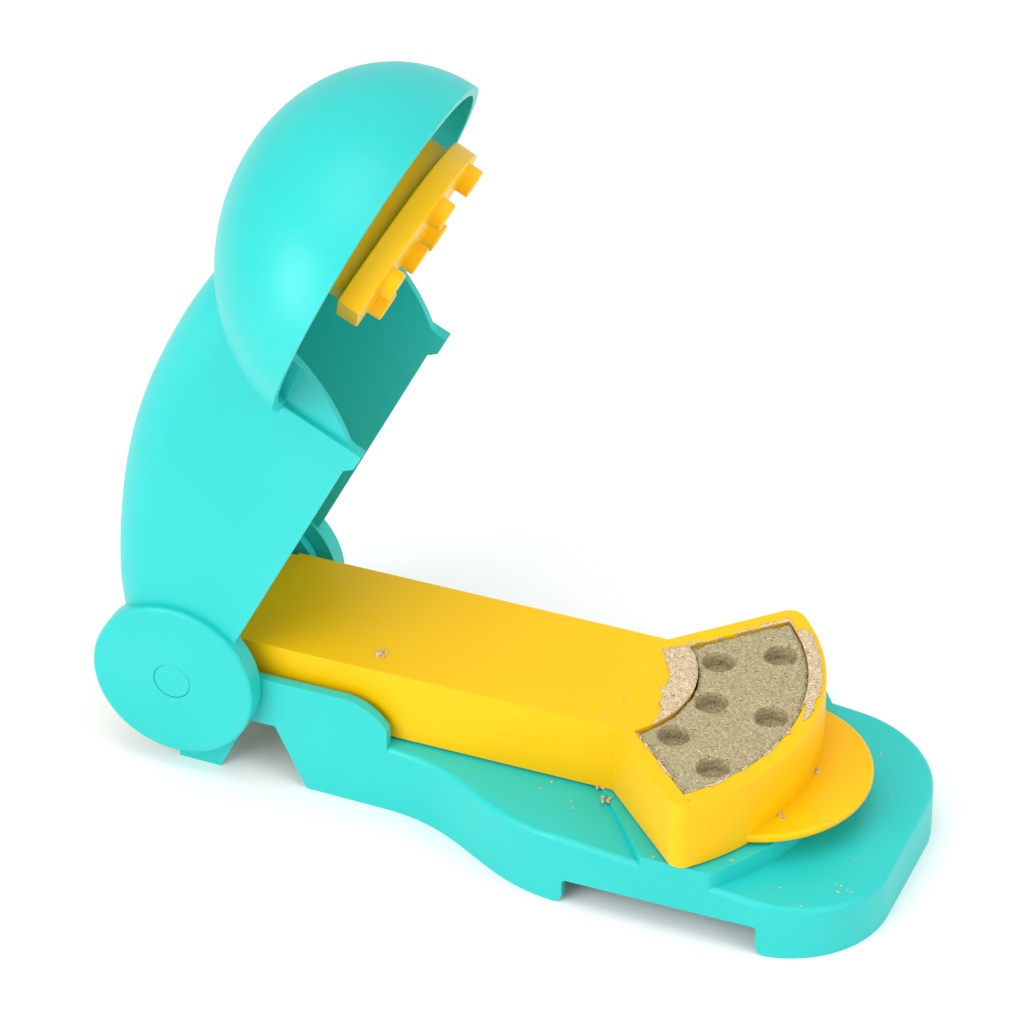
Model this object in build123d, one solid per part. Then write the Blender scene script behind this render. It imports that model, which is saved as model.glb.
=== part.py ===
from build123d import *
import os
from math import cos, radians, sin

# A hand press that moulds play sand into a wedge of cheese.
# Millimetres, +Z up. X runs from the hinge to the front, Y across the width.
# Sub-parts are drawn with the hinge axis above x = 0, then moved so that the
# origin lies on the ground under the middle of the overall length.

# ---- driving dimensions -------------------------------------------------
hinge_height = 25.1        # hinge axis above the ground
base_reach = 165.5         # hinge axis to the front edge of the base
pad_half_width = 37.2      # half the width of the wide front pad
stance = 1.2               # the level floor rises to the front by this many degrees
neck_half_width = 21.6     # half the width of the narrow rear neck
wall = 2.3                 # moulded wall of base and lid
fit = 0.05                 # radial running clearance on the hinge
gap = 0.3                  # clearance between parts that pass each other

# base
floor_top = 16.05          # top of the level floor
front_top = 8.8            # top of the base at its front edge
floor_rear = 34.9          # rear edge of the floor
crease = 95.8              # where the floor starts to slope down
flare_start = 49.1         # the neck starts to widen
flare_end = 98.0           # the pad has its full width
pad_corner = 24.0          # plan radius of the front corners
skirt_lift = 4.5           # the skirt is raised between mid and front feet
mid_foot = 97.6
front_foot = 143.0
foot_round = 2.4           # lower corners of the feet on either side of the raised skirt
skirt_round = 1.0          # where the raised skirt meets the feet
crease_round = 12.0        # the bend between the level floor and the slope
top_round = 1.4            # rounded top edges of the base
rail_top = 27.2            # top of the two side rails
rail_front = 38.7          # the rail top starts to curve down here
ear_radius = 15.9          # round head of each hinge ear
leg_rear = -1.3
leg_front = 8.8
notch_height = 14.8
notch_rear = 16.0
notch_front = 22.5
wall_foot = 30.0           # the side wall meets the ground here

# platform that the cake is pressed on
platform_top = 16.3
platform_radius = 56.5
platform_half_angle = 50.5
platform_apex = 85.3       # where the platform's two back edges would meet
platform_corner = 1.6      # plan radius where its round front meets the base's sides
groove_inset = 0.9         # from the cake's outline to the groove
groove_width = 2.4
groove_depth = 0.9
groove_end = 1.2           # the groove stops this far inside the base's sides

# locating block
block_rear = 39.4
block_foot_rear = 35.2     # the rear face slopes down to the rear edge of the floor
block_foot_front = 71.3
block_front = 68.9
block_top = 28.05
block_half_width = 12.7
block_draft = 2.1          # how far each side leans in towards the top
block_round = 2.0

# hinge barrel and pins
barrel_radius = 9.6
flange_radius = 11.0
flange_width = 2.4
pin_radius = 4.4
pin_depth = 8.0            # length of the pin inside the barrel

# lid, measured from the hinge axis with the lid closed
lid_half_width = 25.25
back_points = ((3.4, 19.1), (11.2, 24.0), (25.8, 30.6), (43.9, 36.6), (60.1, 39.6),
               (79.8, 40.6), (95.0, 39.6), (112.0, 34.5))
disc_radius = 19.5
disc_face = 27.2           # outer face of the hinge disc
disc_round = 1.0
ear_clearance = 1.0        # the lid's back wall turns round the base's ears
lid_edge = -7.3            # lower edge of the side walls
lid_fin = (84.6, -9.1)     # tip of the fin at the end of each side wall
fin_drop_start = 78.6
web_end = (97.4, 15.5)     # end of the side wall inside the dome
web_round = (93.3, 5.4)    # point on the side wall's curved front edge
ridge_line = 81.6          # a low ridge runs down each side wall to the fin
ridge_width = 3.6
ridge_height = 0.7
web_step = 0.6             # beyond the ridge the wall is thinner on its outside
back_round = 11.0          # rounding along the two back edges
dome_centre = (114.6, 10.7)
dome_axes = (40.0, 47.4, 33.6)
dome_tilt = 45.75
rim_height = 13.1          # rim plane above the hinge axis at the dome's centre
rim_slope = 0.068
lid_rest_angle = 63.3      # the lid stands open by this much at rest

# mould arm
arm_half_width = 17.5
arm_top = 33.9
arm_bottom = 16.6
arm_wall = 2.1
arm_root = 12.0            # the arm's end wall, measured from the hinge axis
hub_wall = 1.6
mouth_reach = 11.07        # the clip's mouth opens this far ahead of the hinge, in the arm's top
ribs = ((29.7, 21.5), (83.3, arm_bottom))  # ribs across the arm's hollow, and their lower edges
rib_thickness = 1.8
mould_apex = 89.25
cake_radius = 49.3
back_radius = 24.2         # the cake's hollowed back, round the same apex
cake_half_angle = 44.0
mould_wall = 3.8
mould_corner = 3.4
mould_bottom = 16.75
mould_top = 33.9
back_wall = 2.2            # wall between the mould and the arm's hollow
lip_inset = 1.5
lip_width = 1.2
lip_bottom = 15.9
tab_centre = 129.6
tab_radius = 25.9
tab_bottom = 17.0
tab_top = 19.1
tab_round = 0.8

# cake and stamp
cake_top = 33.1
cake_gap = 0.35            # all round the cake, for the mould to swing clear
cake_back_gap = 0.6
hole_depth = 4.0
hole_radius = 3.8
holes = ((115.0, 14.4), (115.0, -14.4), (127.0, 21.9), (127.0, -21.9), (118.6, 0.0), (132.6, 0.0))
stud_radius = 3.4
stud_length = 3.4
plate_bottom = 32.0        # underside of the stamp's plate with the lid closed
plate_thickness = 5.5
plate_gap = 0.5
pedestal_inset = 2.6
pedestal_wall = 2.2

barrel_half_length = neck_half_width - wall
hinge = Axis((0, 0, hinge_height), (0, -1, 0))


def across(points_or_face, half_width):
    """A side outline in X and Z, made solid over y = -half_width..half_width."""
    face = points_or_face
    return extrude(face, half_width, dir=(0, 1, 0), both=True)


def side_face(*points):
    """A closed polygon in the XZ plane."""
    return make_face(Polyline(*[(x, 0, z) for x, z in points], close=True))


def rod(radius, y0, y1, centre=(0, None)):
    """A round bar along Y from y0 to y1."""
    z = hinge_height if centre[1] is None else centre[1]
    plane = Plane(origin=(centre[0], y0, z), x_dir=(1, 0, 0), z_dir=(0, 1, 0))
    return extrude(plane * Circle(radius), y1 - y0)


def mirrored(solid):
    """The solid and its mirror image across the XZ plane."""
    return solid + mirror(solid, about=Plane.XZ)


# ---- base ---------------------------------------------------------------
def tray_plan(inset=0.0):
    """Plan outline of the floor: straight neck, S-shaped flare, wide pad."""
    neck, pad = neck_half_width - inset, pad_half_width - inset
    front, corner = base_reach - inset, pad_corner - inset
    side = Line((floor_rear, neck), (flare_start, neck))
    flare = Spline(side @ 1, (flare_end, pad), tangents=((1, 0), (1, 0)))
    flank = Line(flare @ 1, (front - corner, pad))
    turn = CenterArc((front - corner, pad - corner), corner, 0, 90)
    tip = Line((front, pad - corner), (front, 0))
    half = [side, flare, flank, turn, tip]
    other = [mirror(edge, about=Plane.XZ) for edge in half]
    rear = Line((floor_rear, neck), (floor_rear, -neck))
    return make_face(half + other + [rear])


def ramp_height(x, lower=0.0):
    slope = (floor_top - front_top) / (base_reach - crease)
    return floor_top - lower - slope * (x - crease)


def ground_at(x):
    """Height of the ground below the level floor's own zero."""
    return -x * sin(radians(stance))


def tray_side(lower=0.0):
    """Side outline of the floor: level, then sloping to the front."""
    face = side_face(
        (floor_rear - 1, ground_at(floor_rear - 1)), (floor_rear - 1, floor_top - lower),
        (crease, floor_top - lower), (base_reach + 1, ramp_height(base_reach + 1, lower)),
        (base_reach + 1, ground_at(base_reach + 1)))
    bend = face.vertices().filter_by(lambda v: abs(v.X - crease) < 0.1)
    return fillet(bend, crease_round)


def side_arch():
    """Space under the raised skirt, right across the base, with the feet's round corners."""
    rear, front, below = mid_foot - 10, front_foot + 10, -10
    face = side_face(
        (rear, ground_at(rear)), (mid_foot, ground_at(mid_foot)), (mid_foot, skirt_lift),
        (front_foot, skirt_lift), (front_foot, ground_at(front_foot)),
        (front, ground_at(front)), (front, below), (rear, below))
    inner = face.vertices().filter_by(lambda v: mid_foot - 1 < v.X < front_foot + 1)
    face = fillet(inner.filter_by(lambda v: v.Z > skirt_lift - 0.1), skirt_round)
    inner = face.vertices().filter_by(
        lambda v: min(abs(v.X - mid_foot), abs(v.X - front_foot)) < 0.1)
    face = fillet(inner.group_by(Axis.Z)[0] + inner.group_by(Axis.Z)[1], foot_round)
    return across(face, 2 * pad_half_width)


def tray():
    low = Pos(Z=ground_at(base_reach + 2))
    body = low * extrude(tray_plan(), 2 * floor_top) & across(tray_side(), pad_half_width + 1)
    top = body.faces().filter_by(lambda f: f.normal_at().Z > 0.5)
    rim = top.edges().filter_by(
        lambda e: abs(e.center().Y) > 0.1 or e.center().X > (crease + base_reach) / 2)
    body = fillet(rim, top_round)
    hollow = low * extrude(tray_plan(wall), 2 * floor_top) & across(tray_side(wall), pad_half_width)
    hollow += Pos(Z=-0.1) * hollow
    open_rear = Pos(X=-1) * hollow
    arch = side_arch()
    rear_opening = Pos(X=wall_foot) * Box(
        4 * (floor_rear - wall_foot), 2 * (neck_half_width - wall), 2 * (floor_top - wall))
    return body - hollow - open_rear - arch - rear_opening


def rail():
    """Side rail with its hinge ear, rear leg and notch."""
    plane = Plane(origin=(0, neck_half_width - wall, 0), x_dir=(1, 0, 0), z_dir=(0, -1, 0))
    cusp = (flare_start, floor_top - 0.4)
    top = [Line((0, rail_top), (rail_front, rail_top)),
           JernArc((rail_front, rail_top), (1, 0), (rail_top - cusp[1]) * 1.1, -60)]
    end = top[1] @ 1
    foot = flare_start + 0.6
    lower = Polyline(end, (foot, floor_top - 1.0), (foot, ground_at(foot)),
                     (wall_foot, ground_at(wall_foot)), (notch_front, notch_height),
                     (notch_rear, notch_height), (leg_front, ground_at(leg_front)),
                     (leg_rear, ground_at(leg_rear)), (leg_rear, hinge_height), (0, hinge_height),
                     (0, rail_top))
    sheet = make_face(top + [lower])
    flat = plane * (sheet + Pos(0, hinge_height) * Circle(ear_radius))
    body = extrude(flat, -wall)
    return body


def platform():
    """Level sector that the cake stands on, standing out of the sloping floor."""
    ray = platform_radius * 2
    a = radians(platform_half_angle)
    sector = make_face(Polyline(
        (platform_apex, 0), (platform_apex + ray * cos(a), ray * sin(a)),
        (platform_apex + ray * cos(a), -ray * sin(a)), close=True))
    sector &= Pos(mould_apex, 0) * Circle(platform_radius)
    sector &= tray_plan()
    sector &= Pos(crease + 50, 0) * Rectangle(100, 200)
    ends = sector.vertices().filter_by(lambda v: abs(v.Y) > pad_half_width - 0.1)
    sector = fillet(ends.sort_by(Axis.X)[-2:], platform_corner)
    block = Pos(Z=floor_top - 8) * extrude(sector, platform_top - floor_top + 8)
    keep = across(side_face(
        (crease, floor_top - 0.8), (base_reach, ramp_height(base_reach) - 0.8),
        (base_reach, 60), (crease, 60)), 100)
    return block & keep


def cake_outline(inset=0.0, back_inset=None):
    """Wedge with a round front and a round hollow in place of its narrow end."""
    back = inset if back_inset is None else back_inset
    a = radians(cake_half_angle)
    far = 2 * cake_radius
    start = mould_apex + inset / sin(a)
    wedge = make_face(Polyline((start, 0), (start + far * cos(a), far * sin(a)),
                               (start + far * cos(a), -far * sin(a)), close=True))
    wedge &= Pos(mould_apex, 0) * Circle(cake_radius - inset)
    return wedge - Pos(mould_apex, 0) * Circle(back_radius + back)


def groove():
    ring = offset(cake_outline(), groove_inset + groove_width) - offset(cake_outline(), groove_inset)
    ring &= tray_plan(groove_end)
    return Pos(Z=platform_top - groove_depth) * extrude(ring, 5)


def locating_block():
    """Tapered block that the arm's hollow drops over."""
    height = block_top - floor_top
    foot = Rectangle(block_foot_front - block_foot_rear, 2 * block_half_width)
    head = Rectangle(block_front - block_rear, 2 * (block_half_width - block_draft))
    lower = Pos((block_foot_front + block_foot_rear) / 2, 0, floor_top - 0.5) * foot
    upper = Pos((block_front + block_rear) / 2, 0, block_top) * head
    body = loft([lower, upper])
    rims = body.faces().sort_by(Axis.Z)[-1].edges() + body.edges().filter_by(
        lambda e: abs(e.center().Z - (floor_top + height / 2)) < 2)
    return fillet(rims, block_round)


def base_tray():
    body = tray() + platform() + locating_block()
    body -= groove()
    body += mirrored(rail())
    bore = rod(pin_radius, -neck_half_width - 1, neck_half_width + 1)
    return body - bore


# ---- hinge --------------------------------------------------------------
def hinge_barrel():
    half = barrel_half_length - 0.05
    body = rod(barrel_radius, -half, half)
    body += mirrored(rod(flange_radius, half - flange_width, half))
    seats = mirrored(rod(pin_radius, barrel_half_length - pin_depth, barrel_half_length + 1))
    return body - seats


def hinge_pin():
    """Pin on the +Y side, pressed through the ear into the barrel."""
    return rod(pin_radius, barrel_half_length - pin_depth, disc_face)


# ---- mould arm ----------------------------------------------------------
def mould_plan(grow):
    """Outside of the mould around the cake, with rounded corners."""
    a = radians(cake_half_angle)
    far = 2 * cake_radius
    start = mould_apex - grow / sin(a)
    wedge = make_face(Polyline((start, 0), (start + far * cos(a), far * sin(a)),
                               (start + far * cos(a), -far * sin(a)), close=True))
    wedge &= Pos(mould_apex, 0) * Circle(cake_radius + grow)
    corners = wedge.vertices().sort_by(Axis.X)[-2:]
    return fillet(corners, mould_corner)


def arm_hollow():
    """Space under the arm, between its end wall and the mould's curved back wall."""
    inner = arm_half_width - arm_wall
    reach = mould_apex + back_radius
    plan = Pos((arm_root + arm_wall + reach) / 2, 0) * Rectangle(reach - arm_root - arm_wall, 2 * inner)
    plan -= offset(cake_outline(), back_wall)
    body = Pos(Z=arm_bottom - 1) * extrude(plan, arm_top - arm_wall - arm_bottom + 1)
    for place, lower_edge in ribs:
        body -= Pos(place, 0, lower_edge + arm_top / 2) * Box(rib_thickness, 4 * inner, arm_top)
    return body


def arm_hub():
    """Open clip that snaps over the barrel from above."""
    half = barrel_half_length - flange_width - gap
    outer = rod(barrel_radius + fit + hub_wall, -half, half)
    bore = rod(barrel_radius + fit, -half - 1, half + 1)
    rise = (arm_top - arm_wall / 2 - hinge_height) / mouth_reach
    mouth = across(side_face(
        (0, hinge_height), (60, hinge_height + 60 * rise), (60, -60), (-14, -60)), half + 1)
    bridge = across(side_face(
        (0, arm_top - arm_wall), (0, arm_top), (arm_root + arm_wall, arm_top),
        (arm_root + arm_wall, hinge_height + 3), (arm_root, hinge_height + 3)), half)
    clip = outer - mouth
    return clip + bridge - bore


def mould_arm():
    length = mould_apex + back_radius - arm_root
    beam = Pos(arm_root + length / 2, 0, (arm_top + arm_bottom) / 2) * Box(
        length, 2 * arm_half_width, arm_top - arm_bottom)
    mould = Pos(Z=mould_bottom) * extrude(mould_plan(mould_wall), mould_top - mould_bottom)
    mould -= Pos(arm_root + arm_wall, 0, 0) * Box(2 * (mould_apex - arm_root), 200, 200)
    lip = offset(cake_outline(), lip_inset + lip_width) - offset(cake_outline(), lip_inset)
    lip &= tray_plan(groove_end + gap)
    lip = Pos(Z=lip_bottom) * extrude(lip, mould_bottom - lip_bottom)
    disc = Pos(tab_centre, 0, tab_bottom) * Cylinder(
        tab_radius, tab_top - tab_bottom, align=(Align.CENTER, Align.CENTER, Align.MIN))
    disc = fillet(disc.edges().filter_by(GeomType.CIRCLE), tab_round)
    body = beam + mould + disc
    body -= arm_hollow()
    body += lip
    body -= Pos(Z=lip_bottom - 1) * extrude(cake_outline(), 60)
    return body + arm_hub()


# ---- cake and stamp -----------------------------------------------------
def sand_cake():
    plan = cake_outline(cake_gap, cake_back_gap)
    body = Pos(Z=platform_top) * extrude(plan, cake_top - platform_top)
    for x, y in holes:
        body -= Pos(x, y, cake_top - hole_depth) * Cylinder(
            hole_radius, 10, align=(Align.CENTER, Align.CENTER, Align.MIN))
    return body


def dome_solid(inset=0.0):
    """Tilted egg shape of the lid's head."""
    a, b, c = (axis - inset for axis in dome_axes)
    ball = Rot(Y=90) * Rot(X=90) * Sphere(1)
    egg = scale(ball, by=(a, b, c))
    return Pos(dome_centre[0], 0, hinge_height + dome_centre[1]) * Rot(Y=-dome_tilt) * egg


def stamp():
    outline = cake_outline(plate_gap)
    plate = Pos(Z=plate_bottom) * extrude(outline, plate_thickness)
    block = extrude(cake_outline(plate_gap + pedestal_inset), 60)
    block -= extrude(offset(cake_outline(plate_gap + pedestal_inset), -pedestal_wall), 60)
    pedestal = (Pos(Z=plate_bottom + plate_thickness) * block) & dome_solid(wall)
    body = plate + pedestal
    for x, y in holes:
        stud = Pos(x, y, plate_bottom - stud_length) * Cylinder(
            stud_radius, stud_length + 1, align=(Align.CENTER, Align.CENTER, Align.MIN))
        body += stud
    return body


# ---- lid ----------------------------------------------------------------
def rim_z(x):
    return hinge_height + rim_height + rim_slope * (x - dome_centre[0])


def lid_side(inset=0.0):
    """Side outline of the lid's body, from the hinge discs to inside the dome."""
    h = hinge_height
    back = Spline(*[(x + 0.4 * inset, h + z - inset) for x, z in back_points])
    edges = [back, Line(back @ 1, (web_end[0], h + web_end[1])),
             ThreePointArc((web_end[0], h + web_end[1]), (web_round[0], h + web_round[1]),
                           (lid_fin[0] + 1.0, h + lid_edge + 2.2)),
             Polyline((lid_fin[0] + 1.0, h + lid_edge + 2.2), (lid_fin[0], h + lid_fin[1]),
                      (fin_drop_start + 2, h + lid_fin[1]), (fin_drop_start, h + lid_edge),
                      (12.0, h + lid_edge), (0, h), back @ 0)]
    return Plane.XZ * make_face(edges)


def lid_body(inset):
    """The lid's body as a solid, with its two back edges rounded."""
    body = across(lid_side(inset), lid_half_width - inset)
    backs = body.edges().filter_by(lambda e: e.length > 80 and e.center().Z > hinge_height + 20)
    return fillet(backs, back_round - inset)


def wall_strip(x0, x1, inner, outer):
    """Strip over the +Y side wall below the rim, from x0 to x1."""
    low = hinge_height + lid_fin[1]
    strip = side_face((x0, rim_z(x0)), (x1, rim_z(x1)), (x1, low), (x0, low))
    return Pos(Y=outer) * extrude(strip, outer - inner, dir=(0, -1, 0))


def lid_shell():
    body = lid_body(0.0)
    room = lid_body(wall)
    room += Pos(60, 0, hinge_height - 40) * Box(240, 2 * (lid_half_width - wall), 80)
    above_rim = across(side_face(
        (-50, rim_z(-50)), (250, rim_z(250)), (250, 200), (-50, 200)), 100)
    head = (dome_solid() & above_rim) - dome_solid(wall)
    middle = dome_solid(wall) & Pos(Z=50) * Box(400, 2 * (lid_half_width - wall), 400)
    shell = (body - room - middle) + (head - room)
    shell -= rod(ear_radius + ear_clearance, wall - lid_half_width, lid_half_width - wall)
    disc = rod(disc_radius, neck_half_width + gap, disc_face)
    disc = fillet(disc.edges().sort_by(Axis.Y)[-1:], disc_round)
    shell += mirrored(disc)
    ridge_end = ridge_line + ridge_width
    shell += mirrored(wall_strip(
        ridge_line, ridge_end, lid_half_width - wall, lid_half_width + ridge_height))
    shell -= mirrored(wall_strip(
        ridge_end, web_end[0] + 5, lid_half_width - web_step, lid_half_width + 1))
    return shell - rod(pin_radius + fit, -disc_face - 1, disc_face + 1)


# ---- assembly -----------------------------------------------------------
def opened(solid):
    """Turn a piece of the lid to its rest position."""
    return solid.rotate(hinge, lid_rest_angle)


def build():
    pin = hinge_pin()
    nodes = {
        "base_tray": base_tray(),
        "hinge_barrel": hinge_barrel(),
        "hinge_pin_left": pin,
        "hinge_pin_right": mirror(pin, about=Plane.XZ),
        "mould_arm": mould_arm(),
        "sand_cake": sand_cake(),
        "lid_shell": opened(lid_shell()),
        "press_stamp": opened(stamp()),
    }
    level = {name: Rot(Y=-stance) * solid for name, solid in nodes.items()}
    rear = min(solid.bounding_box().min.X for solid in level.values())
    front = max(solid.bounding_box().max.X for solid in level.values())
    return {name: Pos(X=-(rear + front) / 2) * solid for name, solid in level.items()}


os.makedirs("parts", exist_ok=True)
for name, solid in build().items():
    export_step(solid, f"parts/{name}.step")
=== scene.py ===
import math

import bmesh
import bpy
import numpy as np
from mathutils import Matrix, Vector


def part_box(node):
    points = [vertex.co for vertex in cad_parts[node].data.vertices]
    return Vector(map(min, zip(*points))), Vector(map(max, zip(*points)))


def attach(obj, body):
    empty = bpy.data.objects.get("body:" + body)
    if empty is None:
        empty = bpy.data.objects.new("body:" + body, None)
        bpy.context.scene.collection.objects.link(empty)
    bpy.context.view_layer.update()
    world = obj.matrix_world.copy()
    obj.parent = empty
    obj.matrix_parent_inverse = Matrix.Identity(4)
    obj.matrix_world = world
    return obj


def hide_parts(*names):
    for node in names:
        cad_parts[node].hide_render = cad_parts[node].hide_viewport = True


# Looks of a hand press that moulds play sand into a wedge of cheese.
# The press is satin injection-moulded plastic, teal and yellow; the wedge in
# its mould is fine sand, with flakes and crumbs left lying round it.

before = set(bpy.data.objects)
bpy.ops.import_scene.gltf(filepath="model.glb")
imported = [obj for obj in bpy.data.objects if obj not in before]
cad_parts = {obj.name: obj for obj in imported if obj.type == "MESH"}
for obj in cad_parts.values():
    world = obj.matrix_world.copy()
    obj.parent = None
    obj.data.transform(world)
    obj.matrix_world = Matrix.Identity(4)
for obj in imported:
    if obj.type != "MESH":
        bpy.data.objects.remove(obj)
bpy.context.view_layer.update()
MM = 0.001

# ---- sizes, in millimetres and radians, the same as in the CAD --------------
STANCE = math.radians(1.2)        # the base's floor rises to the front
HINGE_HEIGHT = 25.1
ARM_TOP = 33.9
TAB_TOP = 19.1
FLOOR_TOP = 16.05
PLATFORM_TOP = 16.3
CREASE = 95.8                     # the floor starts to slope down here
PAD_SLOPE = 0.104                 # the front pad falls by this much per millimetre
MOULD_APEX = 89.25                # where the wedge's two sides would meet
BACK_RADIUS = 24.2                # hollowed back of the wedge, round the apex
CAKE_RADIUS = 49.3
CAKE_HALF_ANGLE = math.radians(44)
MOULD_WALL = 3.8
CORNER_START = 0.4                # centres of the mould's round corners, this far off the wedge
GRAIN = 0.34                      # one grain of the pressed sand

# ---- places ---------------------------------------------------------------
hinge_low, hinge_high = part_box("hinge_barrel")
HINGE = (hinge_low + hinge_high) / 2
LEVEL = Matrix.Translation(HINGE) @ Matrix.Rotation(-STANCE, 4, "Y") @ Matrix.Translation(
    (0, 0, -HINGE_HEIGHT * MM))


def place(matrix, points):
    """Points in millimetres, an (n, 3) array, taken to metres in the row frame."""
    turn = np.array(matrix.to_3x3())
    return np.asarray(points) * MM @ turn.T + np.array(matrix.translation)


# ---- shader sums ------------------------------------------------------------
class Value:
    """A number that varies over a surface, usable in ordinary sums."""

    def __init__(self, maker, socket):
        self.maker, self.socket = maker, socket

    def sum(self, operation, first, second):
        node = self.maker.node("ShaderNodeMath", {"operation": operation}, {0: first, 1: second})
        return node(0)

    def __add__(self, other):
        return self.sum("ADD", self, other)

    def __radd__(self, other):
        return self.sum("ADD", other, self)

    def __rsub__(self, other):
        return self.sum("SUBTRACT", other, self)

    def __rmul__(self, other):
        return self.sum("MULTIPLY", other, self)


class Finish:
    """One material being made: its nodes, its shader and its patterns."""

    def __init__(self, name):
        self.material = bpy.data.materials.new(name)
        self.material.use_nodes = True
        self.tree = self.material.node_tree
        self.tree.nodes.clear()
        self.shader = self.tree.nodes.new("ShaderNodeBsdfPrincipled")
        output = self.tree.nodes.new("ShaderNodeOutputMaterial")
        self.tree.links.new(self.shader.outputs[0], output.inputs["Surface"])
        self.place = self.tree.nodes.new("ShaderNodeTexCoord").outputs["Object"]

    def feed(self, socket, value):
        if isinstance(value, Value):
            value = value.socket
        if isinstance(value, bpy.types.NodeSocket):
            self.tree.links.new(value, socket)
        else:
            socket.default_value = value

    def node(self, kind, settings=None, inputs=None):
        """Makes a node; the answer gives its outputs by name or number."""
        made = self.tree.nodes.new(kind)
        for name, value in (settings or {}).items():
            if name == "stops":
                ramp = made.color_ramp
                while len(ramp.elements) < len(value):
                    ramp.elements.new(0.5)
                for element, (position, colour) in zip(ramp.elements, value):
                    element.position, element.color = position, colour
            else:
                setattr(made, name, value)
        for name, value in (inputs or {}).items():
            self.feed(made.inputs[name], value)
        return lambda which: Value(self, made.outputs[which])

    def noise(self, size, detail=2.0):
        """Soft noise whose lumps are about that many millimetres across."""
        return self.node("ShaderNodeTexNoise", {}, {
            "Vector": self.place, "Scale": 1 / (size * MM), "Detail": detail})("Fac")

    def grains(self, size, what="Distance"):
        """Cells about that many millimetres across: distance from the centre, or a colour each."""
        return self.node("ShaderNodeTexVoronoi", {}, {
            "Vector": self.place, "Scale": 1 / (size * MM)})(what)

    def ramp(self, value, stops):
        return self.node("ShaderNodeValToRGB", {"stops": stops}, {"Fac": value})("Color")

    def mix(self, amount, first, second):
        return self.node("ShaderNodeMix", {"data_type": "RGBA"}, {
            0: amount, 6: first, 7: second})(2)

    def bump(self, height, strength, depth):
        normal = self.node("ShaderNodeBump", {}, {
            "Strength": strength, "Distance": depth * MM, "Height": height})("Normal")
        self.feed(self.shader.inputs["Normal"], normal)


def rgba(red, green, blue):
    return (red, green, blue, 1.0)


def moulded_plastic(name, body, deep, glow, sheen):
    """Satin moulded plastic with a fine spark-eroded skin.

    Its colour drifts a little between body and deep. glow is the light's reach inside the
    plastic for red, green and blue, and sheen is the strength of its reflections.
    """
    finish = Finish(name)
    drift = finish.noise(38, 1.5)
    finish.feed(finish.shader.inputs["Base Color"], finish.mix(
        finish.ramp(drift, [(0.35, rgba(0, 0, 0)), (0.68, rgba(1, 1, 1))]), body, deep))
    skin = finish.noise(0.5, 2.0)
    rubbed = finish.noise(11, 3.0)
    finish.feed(finish.shader.inputs["Roughness"], 0.3 + 0.12 * rubbed + 0.06 * skin)
    finish.bump(skin, 0.05, 0.06)
    finish.shader.inputs["IOR"].default_value = 1.49
    finish.shader.inputs["Specular IOR Level"].default_value = sheen
    finish.shader.inputs["Subsurface Weight"].default_value = 0.12
    finish.shader.inputs["Subsurface Radius"].default_value = glow
    finish.shader.inputs["Subsurface Scale"].default_value = 1.5 * MM
    return finish.material


def play_sand(name, light, dark):
    """Fine pressed sand: every grain its own tone, with a few dark and glassy grains."""
    finish = Finish(name)
    tone = finish.node("ShaderNodeSeparateColor", {}, {
        "Color": finish.grains(GRAIN, "Color")})("Red")
    damp = finish.noise(7, 3.0)
    black = [0.4 * part for part in dark]
    middle = [(a + b) / 2 for a, b in zip(light, dark)]
    glassy = [min(1.0, 1.3 * part) for part in light]
    grain = finish.ramp(tone, [
        (0.0, rgba(*black)), (0.06, rgba(*dark)), (0.5, rgba(*middle)), (0.9, rgba(*light)),
        (1.0, rgba(*glassy))])
    finish.feed(finish.shader.inputs["Base Color"], finish.mix(
        0.2 * damp, grain, rgba(*dark)))
    finish.shader.inputs["Roughness"].default_value = 0.92
    finish.shader.inputs["Specular IOR Level"].default_value = 0.25
    lump = finish.noise(1.3, 3.0)
    finish.bump(0.6 * (1 - finish.grains(GRAIN)) + 0.4 * lump, 0.55, 0.24)
    return finish.material


TEAL = moulded_plastic(
    "teal_plastic", rgba(0.02, 0.51, 0.475), rgba(0.012, 0.485, 0.455), (0.1, 1.0, 0.9), 0.4)
YELLOW = moulded_plastic(
    "yellow_plastic", rgba(0.83, 0.48, 0.0), rgba(0.81, 0.455, 0.0), (1.0, 0.45, 0.05), 0.22)
SAND = play_sand("play_sand", (0.46, 0.39, 0.225), (0.28, 0.235, 0.13))
LOOSE_SAND = play_sand("loose_sand", (0.68, 0.54, 0.35), (0.43, 0.33, 0.20))


# ---- meshes -----------------------------------------------------------------
def merged_copy(node, name):
    """The node's mesh as one closed skin, in a new object."""
    skin = bmesh.new()
    skin.from_mesh(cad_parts[node].data)
    bmesh.ops.remove_doubles(skin, verts=skin.verts, dist=1e-6)
    mesh = bpy.data.meshes.new(name)
    skin.to_mesh(mesh)
    skin.free()
    return add_piece(name, mesh)


def add_piece(name, mesh):
    piece = bpy.data.objects.new(name, mesh)
    bpy.context.scene.collection.objects.link(piece)
    return piece


def baked(piece):
    """Turns a piece's modifiers into plain mesh."""
    depsgraph = bpy.context.evaluated_depsgraph_get()
    depsgraph.update()
    mesh = bpy.data.meshes.new_from_object(
        piece.evaluated_get(depsgraph), preserve_all_data_layers=True, depsgraph=depsgraph)
    mesh.name = piece.name
    piece.modifiers.clear()
    piece.data = mesh
    return piece


def finish_piece(piece, material, slot, body, *nodes):
    """Gives the piece its one material, its body and the nodes it stands in for; slot is not used.
    """
    piece.data.materials.clear()
    piece.data.materials.append(material)
    piece.data.polygons.foreach_set(
        "material_index", np.zeros(len(piece.data.polygons), np.int32))
    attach(piece, body)
    if nodes:
        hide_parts(*nodes)
    return piece


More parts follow.
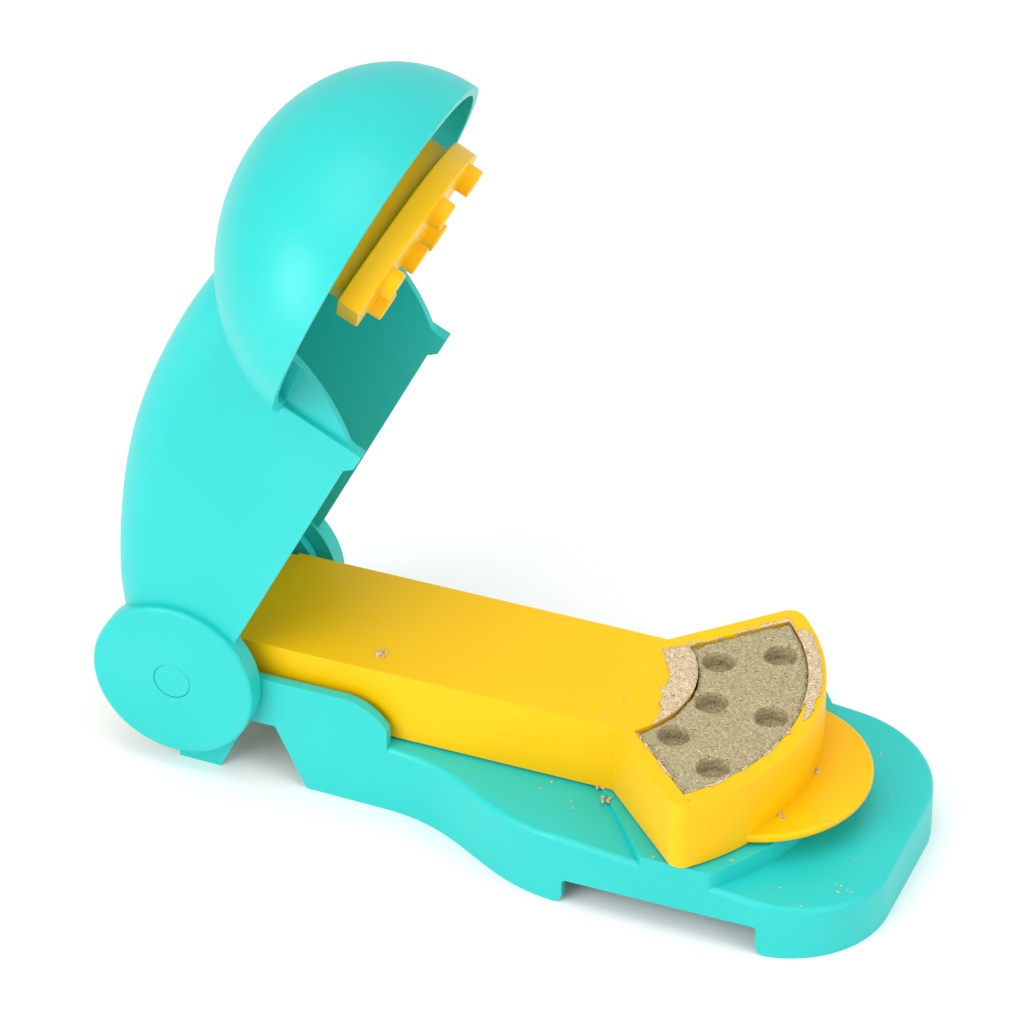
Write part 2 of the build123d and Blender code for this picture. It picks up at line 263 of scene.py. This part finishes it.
def moulding(node, material, slot, body, edge):
    """A plastic part with the small rounding that a mould leaves on its edges."""
    piece = merged_copy(node, node + "_moulding")
    flat = bmesh.new()
    flat.from_mesh(piece.data)
    bmesh.ops.dissolve_limit(
        flat, angle_limit=math.radians(0.4), verts=flat.verts, edges=flat.edges)
    flat.to_mesh(piece.data)
    flat.free()
    piece.data.polygons.foreach_set("use_smooth", np.ones(len(piece.data.polygons), bool))
    rounding = piece.modifiers.new("rounding", "BEVEL")
    rounding.width, rounding.segments = edge * MM, 3
    rounding.limit_method, rounding.angle_limit = "ANGLE", math.radians(32)
    rounding.harden_normals = True
    rounding.miter_outer = "MITER_ARC"
    even = piece.modifiers.new("even", "WEIGHTED_NORMAL")
    even.weight = 90
    return finish_piece(baked(piece), material, slot, body, node)


# ---- sand -------------------------------------------------------------------
def lattice_noise(points, size, seed):
    """Smooth noise from -1 to 1 at (n, 3) points in metres, with lumps of size millimetres."""
    side = 32
    values = np.random.default_rng(seed).uniform(-1, 1, (side,) * 3)
    scaled = points / (size * MM)
    cell = np.floor(scaled).astype(int)
    part = scaled - cell
    part = part * part * (3 - 2 * part)
    total = np.zeros(len(points))
    for corner in np.ndindex(2, 2, 2):
        index = (cell + corner) % side
        weight = np.prod(np.where(np.array(corner) == 1, part, 1 - part), axis=1)
        total += weight * values[index[:, 0], index[:, 1], index[:, 2]]
    return total


def corners_and_normals(mesh):
    """The mesh's corners and their normals, as two (n, 3) arrays."""
    count = len(mesh.vertices)
    points, normals = np.zeros(count * 3), np.zeros(count * 3)
    mesh.vertices.foreach_get("co", points)
    mesh.vertices.foreach_get("normal", normals)
    return points.reshape(-1, 3), normals.reshape(-1, 3)


def sharpness(mesh, points, normals):
    """How far each corner stands out from the mean of its neighbours, in millimetres."""
    edges = np.zeros(len(mesh.edges) * 2, np.int32)
    mesh.edges.foreach_get("vertices", edges)
    edges = edges.reshape(-1, 2)
    total, count = np.zeros_like(points), np.zeros(len(points))
    for a, b in ((0, 1), (1, 0)):
        np.add.at(total, edges[:, a], points[edges[:, b]])
        np.add.at(count, edges[:, a], 1)
    mean = total / np.maximum(count, 1)[:, None]
    return np.einsum("ij,ij->i", points - mean, normals) / MM


HEAPED, SQUEEZED = 0.4, 0.15      # loose grains stand this far proud of top and sides
SMALLEST_BEND = 0.02              # a corner standing out by this much is a full edge


def pressed_cake():
    """The wedge of pressed sand: grainy faces, dished holes and worn edges."""
    piece = merged_copy("sand_cake", "pressed_sand")
    remesh = piece.modifiers.new("grain", "REMESH")
    remesh.mode, remesh.voxel_size = "VOXEL", 0.3 * MM
    worn = piece.modifiers.new("worn", "SMOOTH")
    worn.factor, worn.iterations = 0.5, 4
    baked(piece)
    mesh = piece.data
    points, normals = corners_and_normals(mesh)
    edge = np.clip(sharpness(mesh, points, normals) / SMALLEST_BEND, 0, 1)
    lift = 0.09 * lattice_noise(points, 0.55, 1) + 0.07 * lattice_noise(points, 1.4, 2)
    lift -= edge * (0.12 + 0.3 * np.clip(lattice_noise(points, 1.7, 3), -0.3, 1))
    lift += np.where(normals[:, 2] > 0.5, HEAPED, 0) + np.where(
        np.abs(normals[:, 2]) < 0.5, SQUEEZED, 0)
    points += normals * (lift * MM)[:, None]
    mesh.vertices.foreach_set("co", points.ravel())
    mesh.polygons.foreach_set("use_smooth", np.ones(len(mesh.polygons), bool))
    mesh.update()
    return finish_piece(piece, SAND, "play_sand", "base", "sand_cake")


CRUST_SUNK = 0.05                 # the crust's underside lies this far below its floor


def layer(name, thickness, step, radii, angles, floor, matrix):
    """A thin closed crust over a fan-shaped patch round the wedge's apex.

    thickness(points, r, a) gives millimetres at (n, 3) points of the patch, with their
    distance from the apex and their angle; where it is not above zero there is no crust.
    """
    r = np.arange(radii[0], radii[1], step)
    a = np.arange(angles[0], angles[1], step / CAKE_RADIUS)
    grid_r, grid_a = np.meshgrid(r, a, indexing="ij")
    flat = np.stack([
        MOULD_APEX + grid_r * np.cos(grid_a), grid_r * np.sin(grid_a),
        np.full_like(grid_r, floor)], axis=-1)
    deep = thickness(flat.reshape(-1, 3), grid_r.ravel(), grid_a.ravel()).reshape(grid_r.shape)
    solid = deep > 0
    full = solid[:-1, :-1] & solid[1:, :-1] & solid[:-1, 1:] & solid[1:, 1:]
    used = np.zeros(grid_r.shape, bool)
    for i, j in ((0, 0), (1, 0), (0, 1), (1, 1)):
        used[i:i + full.shape[0], j:j + full.shape[1]] |= full
    number = np.full(grid_r.shape, -1)
    number[used] = np.arange(used.sum())
    count = int(used.sum())
    top, low = flat[used].copy(), flat[used].copy()
    top[:, 2] += deep[used]
    low[:, 2] -= CRUST_SUNK
    faces, rim = [], {}
    for i, j in np.argwhere(full):
        ring = [number[i, j], number[i + 1, j], number[i + 1, j + 1], number[i, j + 1]]
        faces.append(ring)
        faces.append([v + count for v in reversed(ring)])
        for start, end in zip(ring, ring[1:] + ring[:1]):
            if (end, start) in rim:
                del rim[(end, start)]
            else:
                rim[(start, end)] = True
    faces += [[end, start, start + count, end + count] for start, end in rim]
    mesh = bpy.data.meshes.new(name)
    mesh.from_pydata(place(matrix, np.vstack([top, low])).tolist(), [], faces)
    mesh.polygons.foreach_set("use_smooth", np.ones(len(mesh.polygons), bool))
    mesh.update()
    return add_piece(name, mesh)


INWARD = 0.45                     # the crust reaches this far in over the wedge
HEEL = 6.2                        # and this far back over the arm
HEEL_END = math.radians(7)        # past this angle, on the near side, it narrows
TOE = 3.3                         # and this far out over the mould's front wall
TOE_NEAR, TOE_FAR = math.radians(12), math.radians(37)
RIM_KEPT = 0.7                    # the mould's rounded rim stays clear of sand
CRUST_LOW, CRUST_RISE, CRUST_FULL, CRUST_LEAST = 0.2, 0.45, 1.2, 0.08


def spilled_sand():
    """Sand squeezed out over the top of the mould, behind the wedge and at its far front corner."""
    def thickness(points, r, a):
        # Each patch below is a width in millimetres, above zero where the patch lies.
        rough = lattice_noise(points * MM, 2.6, 11) + 0.5 * lattice_noise(points * MM, 0.9, 12)
        side = (CAKE_HALF_ANGLE - a) * r      # distance in from the far side
        near = (CAKE_HALF_ANGLE + a) * r      # distance in from the near side
        heel = BACK_RADIUS - HEEL + 0.9 * rough + 15 * np.clip(-a - HEEL_END, 0, 1)
        behind = np.minimum.reduce([
            r - heel, BACK_RADIUS + INWARD - r, side + 0.4 + 0.5 * rough])
        front = np.minimum(r - CAKE_RADIUS + INWARD, CAKE_RADIUS + TOE + 0.7 * rough - r)
        front -= np.clip(TOE_NEAR - a, 0, 1) * 8 + np.clip(a - TOE_FAR, 0, 1) * 40
        lip = np.minimum(r - CAKE_RADIUS + INWARD, CAKE_RADIUS + 0.1 + 0.8 * rough - r)
        flank = np.minimum.reduce([
            side + 0.3 + 0.9 * rough, INWARD - side, r - heel, CAKE_RADIUS + 0.4 - r])
        seam = np.minimum.reduce([near + 0.25 + 0.8 * rough, 0.4 - near, r - BACK_RADIUS])
        spread = np.maximum.reduce([behind, front, lip, flank, seam])
        outward = np.hypot(np.maximum(r - CAKE_RADIUS - CORNER_START, 0),
                           np.maximum(-CORNER_START - np.minimum(side, near), 0))
        spread = np.minimum(spread, MOULD_WALL - CORNER_START - RIM_KEPT - outward)
        lumps = 0.24 * lattice_noise(points * MM, 0.9, 13)
        crust = CRUST_LOW + CRUST_RISE * np.clip(spread, 0, CRUST_FULL) + lumps
        return np.where(spread > 0, np.maximum(crust, CRUST_LEAST), -1)
    piece = layer(
        "spilled_sand", thickness, 0.24,
        (BACK_RADIUS - 9, CAKE_RADIUS + MOULD_WALL),
        (-CAKE_HALF_ANGLE - 0.06, CAKE_HALF_ANGLE + 0.09), ARM_TOP, LEVEL)
    return finish_piece(piece, LOOSE_SAND, "play_sand", "arm")


def crumb_tree():
    """Scatters crumbs over a patch: density, size and seed are its inputs."""
    tree = bpy.data.node_groups.new("crumbs", "GeometryNodeTree")
    for name, kind in (("Patch", "NodeSocketGeometry"), ("Density", "NodeSocketFloat"),
                       ("Size", "NodeSocketFloat"), ("Seed", "NodeSocketInt"),
                       ("Material", "NodeSocketMaterial")):
        tree.interface.new_socket(name, in_out="INPUT", socket_type=kind)
    tree.interface.new_socket("Crumbs", in_out="OUTPUT", socket_type="NodeSocketGeometry")
    new, link = tree.nodes.new, tree.links.new
    given, result = new("NodeGroupInput"), new("NodeGroupOutput")
    scatter = new("GeometryNodeDistributePointsOnFaces")
    link(given.outputs["Patch"], scatter.inputs["Mesh"])
    link(given.outputs["Density"], scatter.inputs["Density"])
    link(given.outputs["Seed"], scatter.inputs["Seed"])
    grain = new("GeometryNodeMeshIcoSphere")
    grain.inputs["Subdivisions"].default_value = 2
    grain.inputs["Radius"].default_value = 1.0
    lumps = new("ShaderNodeTexNoise")
    lumps.inputs["Scale"].default_value = 1.3
    centred = new("ShaderNodeVectorMath")
    centred.operation = "SUBTRACT"
    centred.inputs[1].default_value = (0.5, 0.5, 0.5)
    link(lumps.outputs["Color"], centred.inputs[0])
    rough = new("GeometryNodeSetPosition")
    link(grain.outputs["Mesh"], rough.inputs["Geometry"])
    link(centred.outputs["Vector"], rough.inputs["Offset"])
    scale = new("FunctionNodeRandomValue")
    scale.data_type = "FLOAT_VECTOR"
    scale.inputs["Min"].default_value = (0.35, 0.35, 0.25)
    scale.inputs["Max"].default_value = (1.5, 1.2, 0.75)
    sized = new("ShaderNodeVectorMath")
    sized.operation = "SCALE"
    link(scale.outputs["Value"], sized.inputs[0])
    link(given.outputs["Size"], sized.inputs["Scale"])
    turn = new("FunctionNodeRandomValue")
    turn.data_type = "FLOAT_VECTOR"
    turn.inputs["Max"].default_value = (0.4, 0.4, 6.28)
    laid = new("GeometryNodeInstanceOnPoints")
    link(scatter.outputs["Points"], laid.inputs["Points"])
    link(rough.outputs["Geometry"], laid.inputs["Instance"])
    link(sized.outputs["Vector"], laid.inputs["Scale"])
    link(turn.outputs["Value"], laid.inputs["Rotation"])
    real = new("GeometryNodeRealizeInstances")
    link(laid.outputs["Instances"], real.inputs["Geometry"])
    painted = new("GeometryNodeSetMaterial")
    link(real.outputs["Geometry"], painted.inputs["Geometry"])
    link(given.outputs["Material"], painted.inputs["Material"])
    link(painted.outputs["Geometry"], result.inputs["Crumbs"])
    return tree


CRUMBS = crumb_tree()


def crumbs(name, patches, density, size, seed, body):
    """Crumbs over square patches, each (x, y, z, half side, up vector) in millimetres.

    density counts crumbs per square millimetre, and size is a crumb's usual radius.
    """
    corners, faces = [], []
    for x, y, z, half, up in patches:
        up = Vector(up).normalized()
        across = up.orthogonal().normalized()
        along = up.cross(across)
        for a, b in ((-1, -1), (1, -1), (1, 1), (-1, 1)):
            corners.append(Vector((x, y, z)) + half * (a * across + b * along))
        faces.append(list(range(len(corners) - 4, len(corners))))
    mesh = bpy.data.meshes.new(name)
    mesh.from_pydata(place(LEVEL, np.array([tuple(c) for c in corners])).tolist(), [], faces)
    piece = add_piece(name, mesh)
    modifier = piece.modifiers.new("crumbs", "NODES")
    modifier.node_group = CRUMBS
    given = {item.name: item.identifier for item in CRUMBS.interface.items_tree
             if item.in_out == "INPUT"}
    modifier[given["Density"]] = density / (MM * MM)
    modifier[given["Size"]] = size * MM
    modifier[given["Seed"]] = seed
    modifier[given["Material"]] = LOOSE_SAND
    baked(piece)
    piece.data.polygons.foreach_set("use_smooth", np.ones(len(piece.data.polygons), bool))
    return finish_piece(piece, LOOSE_SAND, "play_sand", body)


# ---- the press --------------------------------------------------------------
for node, edge in (("base_tray", 0.5), ("hinge_barrel", 0.3), ("hinge_pin_left", 0.35),
                   ("hinge_pin_right", 0.35)):
    moulding(node, TEAL, "teal_plastic", "base", edge)
moulding("lid_shell", TEAL, "teal_plastic", "lid", 0.4)
moulding("mould_arm", YELLOW, "yellow_plastic", "arm", 0.8)
moulding("press_stamp", YELLOW, "yellow_plastic", "lid", 0.45)
pressed_cake()
spilled_sand()

UP = (0, 0, 1)
crumbs("crumbs_on_base", [
    (98.5, -13, FLOOR_TOP, 5, UP), (88, -20, FLOOR_TOP, 4, UP), (101, 14, FLOOR_TOP, 5, UP),
    (96, -25, FLOOR_TOP, 3.5, UP)], 0.035, 0.42, 4, "base")
crumbs("clumps_on_base", [
    (99.4, -17.2, FLOOR_TOP + 0.3, 1.3, UP), (102, -20.8, FLOOR_TOP + 0.3, 1.0, UP),
    (103, 16, FLOOR_TOP + 0.3, 1.2, UP)], 0.9, 0.75, 7, "base")
PAD_CRUMBS = ((145.8, -29.3), (156.9, -22.3), (157.6, -24.3), (159.6, -23.0), (156.7, -12.9),
              (151.7, -33.3), (150.5, 24.0), (157.0, 12.0))
crumbs("crumbs_on_pad", [
    (x, y, FLOOR_TOP - PAD_SLOPE * (x - CREASE), 0.7, (PAD_SLOPE, 0, 1))
    for x, y in PAD_CRUMBS] + [
    (135, -31.1, PLATFORM_TOP, 0.7, UP), (118.6, -35.8, PLATFORM_TOP, 0.7, UP)],
    0.9, 0.28, 5, "base")
crumbs("crumbs_on_arm", [
    (44, -9.5, ARM_TOP, 3, UP), (100, -10, ARM_TOP, 5, UP), (101, 9, ARM_TOP, 6, UP),
    (148, -12, TAB_TOP, 5, UP)], 0.06, 0.26, 9, "arm")
crumbs("clumps_on_tab", [
    (142.9, 2.9, TAB_TOP + 0.1, 0.9, UP), (140.8, -15.6, TAB_TOP + 0.1, 0.9, UP)],
    1.5, 0.4, 6, "arm")
crumbs("clump_on_arm", [(44.5, -11, ARM_TOP + 0.1, 1.5, UP)], 1.2, 0.5, 3, "arm")

# ---- floor, light and camera --------------------------------------------------
bpy.ops.mesh.primitive_plane_add(size=6)
floor = bpy.context.object
floor.name = "floor"
paper = Finish("floor_paper")
paper.feed(paper.shader.inputs["Base Color"], paper.mix(
    0.3 * paper.noise(60), rgba(0.9, 0.9, 0.9), rgba(0.86, 0.86, 0.86)))
paper.shader.inputs["Roughness"].default_value = 0.8
floor.data.materials.append(paper.material)


LIGHT_AIM = Vector((0, 0, 0.06))


def outward_from(azimuth, elevation):
    """Unit vector at those angles in radians; azimuth 0 is the press's near side."""
    flat = math.cos(elevation)
    return Vector((math.sin(azimuth) * flat, -math.cos(azimuth) * flat, math.sin(elevation)))


def soft_light(name, azimuth, elevation, distance, size, power):
    """A square lamp; angles in degrees, distance and size in metres, power in watts."""
    back = outward_from(math.radians(azimuth), math.radians(elevation))
    data = bpy.data.lights.new(name, "AREA")
    data.energy, data.size = power, size
    lamp = bpy.data.objects.new(name, data)
    lamp.location = back * distance + LIGHT_AIM
    lamp.rotation_mode = "QUATERNION"
    lamp.rotation_quaternion = back.to_track_quat("Z", "Y")
    bpy.context.scene.collection.objects.link(lamp)


soft_light("key", -28, 26, 1.3, 0.9, 11.5)
soft_light("fill", 75, 30, 1.5, 1.0, 7)
soft_light("top", 20, 85, 1.3, 0.9, 5.5)

world = bpy.data.worlds.new("studio")
world.use_nodes = True
world.node_tree.nodes["Background"].inputs["Color"].default_value = rgba(1, 1, 1)
world.node_tree.nodes["Background"].inputs["Strength"].default_value = 0.8
bpy.context.scene.world = world
bpy.context.scene.view_settings.view_transform = "Standard"

# The camera looks at the press from the front left, well above the table.
CAMERA_AZIMUTH, CAMERA_ELEVATION = math.radians(21.63), math.radians(35.32)
CAMERA_DISTANCE = 1423.8      # millimetres from the hinge, along the view
CAMERA_RIGHT, CAMERA_UP = 66.2, 43.8
CAMERA_LENS = 218             # millimetres, on Blender's usual 36 mm film
right = Vector((math.cos(CAMERA_AZIMUTH), math.sin(CAMERA_AZIMUTH), 0))
back = outward_from(CAMERA_AZIMUTH, CAMERA_ELEVATION)
up = back.cross(right)
spot = (right * CAMERA_RIGHT + up * CAMERA_UP + back * CAMERA_DISTANCE) * MM
camera = bpy.data.objects.new("camera", bpy.data.cameras.new("camera"))
camera.data.lens = CAMERA_LENS
camera.data.clip_start, camera.data.clip_end = 0.05, 20
camera.rotation_mode = "QUATERNION"
pose = LEVEL @ Matrix.Translation(spot) @ Matrix((right, up, back)).transposed().to_4x4()
camera.location, camera.rotation_quaternion = pose.translation, pose.to_quaternion()
bpy.context.scene.collection.objects.link(camera)
bpy.context.scene.camera = camera
